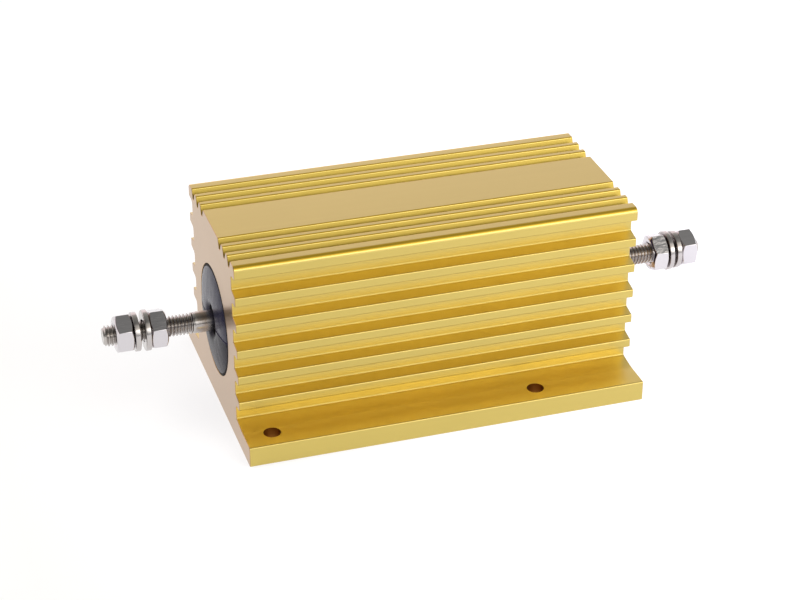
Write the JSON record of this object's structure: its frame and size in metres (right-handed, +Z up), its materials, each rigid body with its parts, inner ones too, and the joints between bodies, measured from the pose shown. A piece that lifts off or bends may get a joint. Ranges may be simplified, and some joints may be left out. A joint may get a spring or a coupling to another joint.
{
  "type": "power resistor",
  "caption": "Chassis-mount wirewound power resistor: finned gold aluminium extrusion with drilled flanges, moulded element and a threaded terminal stud at each end.",
  "frame": {"origin": "centre of the mounting face, in the plane of the base", "axes": "+Z up out of the mounting face, +X along the extrusion and the studs towards the right-hand stud, +Y towards the rear flange"},
  "size_m": [0.1772, 0.074, 0.0555],
  "materials": {
    "gold_anodised": "satin gold anodised",
    "moulding_compound": "semi-gloss",
    "core_ceramic": "matt",
    "resistance_wire": "drawn",
    "cap_metal": "pressed",
    "stud_metal": "bright plated",
    "nut_metal": "bright plated",
    "washer_metal": "bright plated"
  },
  "bodies": {
    "root": {"housing": "gold_anodised", "moulding": "moulding_compound", "ceramic_core": "core_ceramic", "resistance_winding": "resistance_wire", "left_end_cap": "cap_metal", "right_end_cap": "cap_metal", "left_stud": "stud_metal", "right_stud": "stud_metal", "left_inner_nut": "nut_metal", "left_outer_nut": "nut_metal", "right_inner_nut": "nut_metal", "right_outer_nut": "nut_metal", "left_flat_washer": "washer_metal", "right_flat_washer": "washer_metal", "left_spring_washer": "washer_metal", "right_spring_washer": "washer_metal"}
  },
  "joints": []
}
